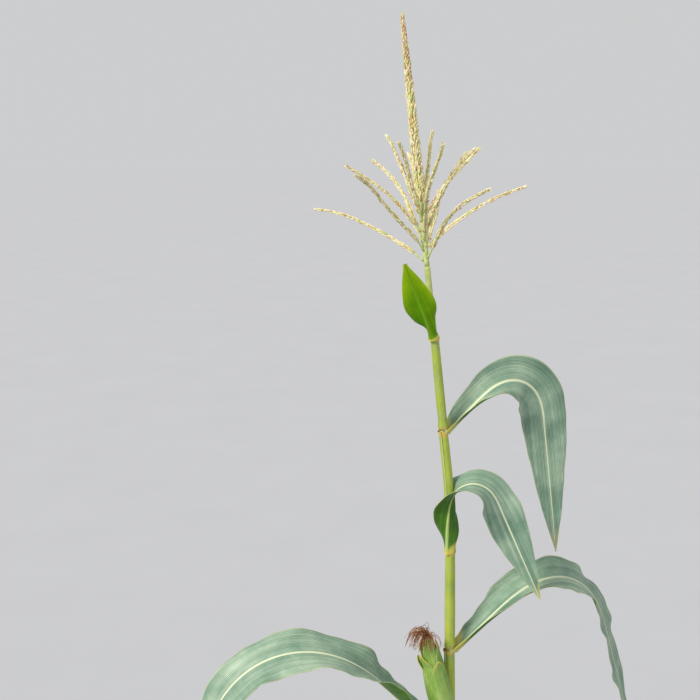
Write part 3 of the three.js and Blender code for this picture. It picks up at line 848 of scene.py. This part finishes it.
def add_leaf(index, materials):
    """A leaf of one piece: its blade, its sheath and its ligule."""
    leaf = LEAVES[index]
    number = index + 1
    foot = SHEATH_FOOT if index == 0 else LEAVES[index - 1]["collar"] + SHEATH_STEP
    skin = Skin()
    add_blade(skin, leaf, number)
    add_sheath(skin, leaf, foot, number)
    add_ligule(skin, leaf)
    name = f"leaf_{number}"
    nodes = [name, f"{name}_sheath"]
    if leaf["pitch"][0] - leaf["pitch"][1] > SPLIT_ABOVE:
        nodes.append(f"{name}_tip")
    skin.piece(f"{name}_fine", materials, "dry_leaf" if index == 0 else "leaf", *nodes)


def blade_materials(number, look, sear):
    """The upper and the lower side of a blade."""
    both = dict(edge=look["edge"], glow=look["glow"], sear=sear)
    upper = leaf_material(f"leaf_upper_{number}", look["upper"], look["rib"], bloom=look["bloom"], **both)
    duller = dict(gloss=0.46, bloom=look["bloom"] / 2)
    lower = leaf_material(f"leaf_lower_{number}", look["lower"], look["under_rib"], **duller, **both)
    return upper, lower


def add_leaves():
    """All the leaves: the lowest dry, the topmost bright yellow-green, partly its own colour and partly
    painted light shining through it.
    """
    margin = mottled("leaf_margin")
    dry_margin = mottled("dry_margin")
    sheath = sheath_material("sheath_green", **GREEN_SHEATH)
    dry_sheath = sheath_material("sheath_dry", **DRY_SHEATH)
    looks = [GREEN_BLADE] * (len(LEAVES) - 1) + [FLAG_BLADE]
    rest = [(dry_margin, dry_sheath)] + [(margin, sheath)] * (len(LEAVES) - 1)
    for index, (look, sear) in enumerate(zip(looks, SEAR)):
        add_leaf(index, [*blade_materials(index + 1, look, sear), *rest[index]])


def ear_frame():
    """The ear's foot, its yaw, and its directions along, to the side and up."""
    leaf = LEAVES[EAR_LEAF - 1]
    outwards, _, _ = directions(0.0, leaf["yaw"])
    foot = axis_at(leaf["collar"] + EAR["lift"]) + outwards * sheath_radius(leaf["collar"]) * EAR["offset"]
    return foot, leaf["yaw"], directions(90 - EAR["lean"], leaf["yaw"])


def ear_swell(v):
    """The ear's radius at a share of its length."""
    return lerp(EAR["neck"], EAR["radius"], np.sin(math.pi * lerp(0.1, 1.0, np.clip(v, 0, 1))) ** 0.7)


def add_husk_leaf(skin, k, foot, axes):
    """One husk: a thin ribbed sheet that is wrapped round the cob and ends in a free point."""
    outer = k / (HUSKS["count"] - 1)
    reach = lerp(*HUSKS["reach"], outer) - HUSKS["stagger"] * (k % 2)
    share = np.linspace(0.0, 1.0, 50)[:, None]
    across = np.linspace(-1, 1, 27)
    arc = lerp(*HUSKS["arc"], outer) * (1 - share**3.5) ** 0.8
    angle = math.radians(90 + k * GOLDEN_ANGLE) + across * arc + HUSKS["spiral"] * share
    opened = HUSK_TIPS_OPEN * smoothstep(share, 0.82, 1.0) * (1 + 0.5 * math.sin(k * 2.4))
    radius = lerp(*HUSKS["lie"], outer) * ear_swell(share * reach / 1.02) + 0.0006 + opened
    radius = radius * (1 - 0.02 * across**2) + HUSK_RIBS["height"] * np.sin(across * HUSK_RIBS["radians"])
    run = share * reach * EAR["length"] + 0 * angle
    local = np.stack([run, radius * np.sin(angle), radius * np.cos(angle)], -1)
    metres = (run + k * PATTERN_STEP["husk"], across * arc * 0.02)
    shares = (share, (across + 1) / 2)
    add_sheet(skin, foot + local @ axes, FACES["husk"], (UPPER, LOWER, EDGE), metres, shares)


def add_husk():
    """The cob's core and the husks that overlap round it."""
    skin = Skin()
    foot, _, axes = ear_frame()
    v = np.linspace(0.0, 1.0, 46)
    core = foot + axes[0] * (v * EAR["length"])[:, None]
    add_tube(skin, core, ear_swell(v) * 0.88, 40, LOWER)
    for k in range(HUSKS["count"]):
        add_husk_leaf(skin, k, foot, np.stack(axes))
    husk = leaf_material("husk_green", **HUSK_BLADE)
    skin.piece("husk_fine", [husk, mottled("husk_inside"), mottled("husk_margin")], "husk", "ear_husk")


def add_silk():
    """A tuft of fine strands that rise from the husks' mouth and hang over it."""
    skin = Skin()
    foot, yaw, (along, side, up) = ear_frame()
    mouth = foot + along * EAR["length"] * 0.97
    radii = SILK["radius"] * lerp(*SILK["taper"], np.linspace(0, 1, 13))
    for i in range(SILK["strands"]):
        turn = yaw + RNG.uniform(-SILK["fan"], SILK["fan"])
        length = SILK["length"] * RNG.uniform(*SILK_RANGES["share"])
        rise = RNG.uniform(*SILK_RANGES["rise"])
        droop = RNG.uniform(*SILK_RANGES["droop"])
        curl = RNG.normal(0, SILK["curl"])
        spread = RNG.normal(0, SILK["spread"], 2)
        _, points, _ = swept(
            mouth + side * spread[0] + up * spread[1],
            length,
            len(radii) - 1,
            lambda u: lerp(rise, droop, smoothstep(u, 0, 0.9)),
            lambda u: turn + curl * np.sin(u * 5 + i),
        )
        add_tube(skin, points, radii, 4, int(RNG.integers(3)))
    tones = [mottled(f"silk_{tone}") for tone in ("brown", "red", "tan")]
    skin.piece("silk_fine", tones, "silk", "ear_silk")


def spikelet_template():
    """A glume pair, one unit long, wide and thick: its points and quads."""
    place = np.array([0.0, 0.12, 0.38, 0.68, 0.90, 1.0])
    wide = np.array([0.12, 0.62, 1.0, 0.84, 0.40, 0.04])
    sides = 6
    angle = np.arange(sides) * ALL_AROUND / sides
    ring = np.stack([0 * angle, np.cos(angle), np.sin(angle)], -1) / 2
    points = ring[None] * wide[:, None, None] + np.array([1.0, 0, 0]) * place[:, None, None]
    points[..., 2] += 0.10 * np.sin(place * math.pi)[:, None]
    quads, _, _ = grid(len(place), sides)
    return points.reshape(-1, 3), quads


def spikelet_frames(along, side, up, turn, tilt, size):
    """Frames of spikelets that lie along a limb, turned round it and tilted off it."""
    outwards = up * np.cos(turn)[:, None] + side * np.sin(turn)[:, None]
    lengthways = along * np.cos(tilt)[:, None] + outwards * np.sin(tilt)[:, None]
    sideways = unit(np.cross(along, outwards))
    face = np.cross(lengthways, sideways)
    frames = np.stack([lengthways, sideways, -face], 1) * size[:, :, None]
    return frames, outwards


def spikelet_sizes(count, grow=1.0):
    """Length, width and thickness of so many spikelets, each a little different."""
    base = np.array([SPIKELET["length"], SPIKELET["width"], SPIKELET["thickness"]])
    return base * grow * RNG.normal(1.0, SPIKELET_UNLIKE, (count, 3))


def along_spike(z, foot, tip):
    """A value that the spike keeps almost to the top, where it tapers fast."""
    share = (z - CULM_TOP) / (PLANT_HEIGHT - CULM_TOP)
    return lerp(foot, tip, share ** SPIKE["taper_power"])


def add_spike(stems, florets):
    """The tassel's upright spike: its grooved stem, and spikelets in a dense spiral round it."""

    def grooved(share, angle):
        return 1 + 0.06 * np.sin(6 * angle + 30 * share)

    z = np.linspace(CULM_TOP + 0.0003, PLANT_HEIGHT, 80)
    add_tube(stems, axis_at(z), along_spike(z, SPIKE["radius"], SPIKE["tip"]), 14, 0, grooved)
    z = np.arange(SPIKE["bare_to"] - 0.004, PLANT_HEIGHT - 0.006, SPIKE["pitch"] / SPIKE["rows"])
    count = len(z)
    high = (z - SPIKE["bare_to"]) / (PLANT_HEIGHT - SPIKE["bare_to"])
    upright = (np.broadcast_to(v, (count, 3)) for v in directions(90.0, 0.0))
    turn = np.radians(np.arange(count) * GOLDEN_ANGLE) + RNG.normal(0, SPIKE_SCATTER["turn"], count)
    tilt = np.radians(RNG.normal(SPIKE["tilt"], SPIKE_SCATTER["tilt"], count))
    sizes = spikelet_sizes(count, 1.15) * along_spike(z, *SPIKE_SIZES)[:, None]
    frames, outwards = spikelet_frames(*upright, turn, tilt, sizes)
    reach = along_spike(z, SPIKE["radius"] + 0.0012, SPIKE["tip"] + 0.0003)
    origins = axis_at(z) + outwards * reach[:, None]
    chance = smoothstep(high, SPIKE_DRY["above"], 1.0) * SPIKE_DRY["more"] + SPIKE_DRY["least"]
    is_dry = RNG.random(count) < chance
    dry = RNG.choice([TAN, TAN, TAN, PINK], count)
    fresh = RNG.choice([CREAM, CREAM, STRAW, STRAW, STRAW, GREEN], count)
    add_copies(florets, *spikelet_template(), frames, origins, np.where(is_dry, dry, fresh))


def branch_line(i):
    """The length of a branch, and its shares, points and directions."""
    high = i / (BRANCHES["count"] - 1)
    sway = BRANCH_SWAY if i % 2 else 0
    yaw = BRANCHES["yaw"] + i * GOLDEN_ANGLE
    outwards, _, _ = directions(0.0, yaw)
    length = lerp(*BRANCHES["length"], high)
    rise = lerp(*BRANCH_RISE, high) + sway
    droop = lerp(*BRANCH_DROOP, high) + sway
    start = axis_at(lerp(*BRANCHES["base"], high)) + outwards * SPIKE["radius"]
    wander = RNG.normal(0, BRANCH_WANDER, 2)
    return length, swept(
        start,
        length,
        40,
        lambda u: lerp(rise, droop, smoothstep(u, 0, 1.1)) + wander[0] * np.sin(u * 7),
        lambda u: yaw + wander[1] * np.sin(u * 5),
    )


def add_branch(i, stems, florets):
    """A branch, with spikelets in pairs of pairs along it past its bare foot."""

    def pick(values):
        return np.stack([np.interp(place, u, values[:, k]) for k in range(3)], -1)

    length, (u, points, axes) = branch_line(i)
    add_tube(stems, points, lerp(*BRANCH_RADIUS, u) + BRANCH_FOOT * np.exp(-u * 22), 8, 0)
    rows = int(length * (1 - SPIKELET["bare_share"]) / SPIKELET["pitch"])
    count = rows * len(AROUND_BRANCH)
    place = np.linspace(SPIKELET["bare_share"], 0.985, rows)
    place = np.repeat(place, len(AROUND_BRANCH)) + RNG.normal(0, BRANCH_SCATTER["place"], count)
    place = np.clip(place, 0, 0.99)
    turn = np.radians(np.tile(AROUND_BRANCH, rows) + RNG.normal(0, BRANCH_SCATTER["turn"], count))
    tilt = np.radians(RNG.normal(SPIKELET["tilt"], BRANCH_SCATTER["tilt"], count))
    sizes = spikelet_sizes(count) * lerp(1.0, 0.78, place)[:, None]
    frames, outwards = spikelet_frames(*(unit(pick(axis)) for axis in axes), turn, tilt, sizes)
    origins = pick(points) + outwards * (lerp(*BRANCH_RADIUS, place) * 0.9)[:, None]
    slots = RNG.choice([CREAM] * 5 + [STRAW] * 3 + [GREEN, TAN], count)
    add_copies(florets, *spikelet_template(), frames, origins, slots)


def add_tassel():
    """The tassel as two pieces, its stems and its spikelets."""
    stems, florets = Skin(), Skin()
    add_spike(stems, florets)
    for i in range(BRANCHES["count"]):
        add_branch(i, stems, florets)
    rachis = mottled("rachis")
    tones = [mottled(f"floret_{tone}") for tone in ("cream", "straw", "tan", "pink", "green")]
    names = [f"tassel_branch_{i + 1:02d}" for i in range(BRANCHES["count"])]
    stems.piece("tassel_stems", [rachis], "tassel", "tassel_spike", *names)
    florets.piece("tassel_florets", tones, "tassel", "tassel_spike", *names)


# The picture


def add_camera():
    """A camera that stands and looks as the photographer did."""
    data = bpy.data.cameras.new("camera")
    data.sensor_width = 36
    data.lens = data.sensor_width * FOCAL_PIXELS / FRAME_PIXELS
    camera = new_object("camera", data)
    camera.location = CAMERA_AT
    camera.rotation_euler = (math.radians(90 - CAMERA_DOWN), 0, 0)
    bpy.context.scene.camera = camera


def add_sun(name, place, power, spread, colour):
    """A soft sun that shines from a place towards the origin."""
    data = bpy.data.lights.new(name, "SUN")
    data.energy = power
    data.angle = math.radians(spread)
    data.color = colour
    lamp = new_object(name, data)
    lamp.location = place
    x, y, z = place
    lamp.rotation_euler = (math.atan2(math.hypot(x, y), z), 0, math.atan2(x, -y))


def add_floor():
    """A pale floor that reaches past the picture's edges."""
    mesh = bpy.data.meshes.new("floor")
    corners = [(-1, -1), (1, -1), (1, 1), (-1, 1)]
    mesh.from_pydata([(FLOOR_HALF * x, FLOOR_HALF * y, FLOOR_Z) for x, y in corners], [], [(0, 1, 2, 3)])
    material, nodes = node_tree("studio_floor")
    grain = nodes.noise(nodes.place(), 3.0)
    nodes.finish(nodes.ramp(grain, (0.3, FLOOR_TONES[0]), (0.7, FLOOR_TONES[1])), 0.9, specular=0.0)
    mesh.materials.append(material)
    new_object("floor", mesh)


def add_world():
    """An even pale light from all sides."""
    world = bpy.data.worlds.new("studio")
    world.use_nodes = True
    background = world.node_tree.nodes["Background"]
    background.inputs["Color"].default_value = WORLD["colour"]
    background.inputs["Strength"].default_value = WORLD["strength"]
    bpy.context.scene.world = world


def add_studio():
    """The floor, the world and the suns, in plain colours."""
    add_floor()
    add_world()
    bpy.context.scene.view_settings.view_transform = "Standard"
    for name, sun in SUNS.items():
        add_sun(name, **sun)


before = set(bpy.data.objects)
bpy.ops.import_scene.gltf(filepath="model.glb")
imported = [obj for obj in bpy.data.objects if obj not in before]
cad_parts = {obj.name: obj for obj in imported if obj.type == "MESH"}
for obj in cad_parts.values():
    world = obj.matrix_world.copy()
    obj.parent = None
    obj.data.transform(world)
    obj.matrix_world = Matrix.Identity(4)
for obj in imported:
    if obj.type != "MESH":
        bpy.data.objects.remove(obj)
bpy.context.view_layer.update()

add_camera()
add_studio()
add_stalk()
add_leaves()
add_husk()
add_silk()
add_tassel()
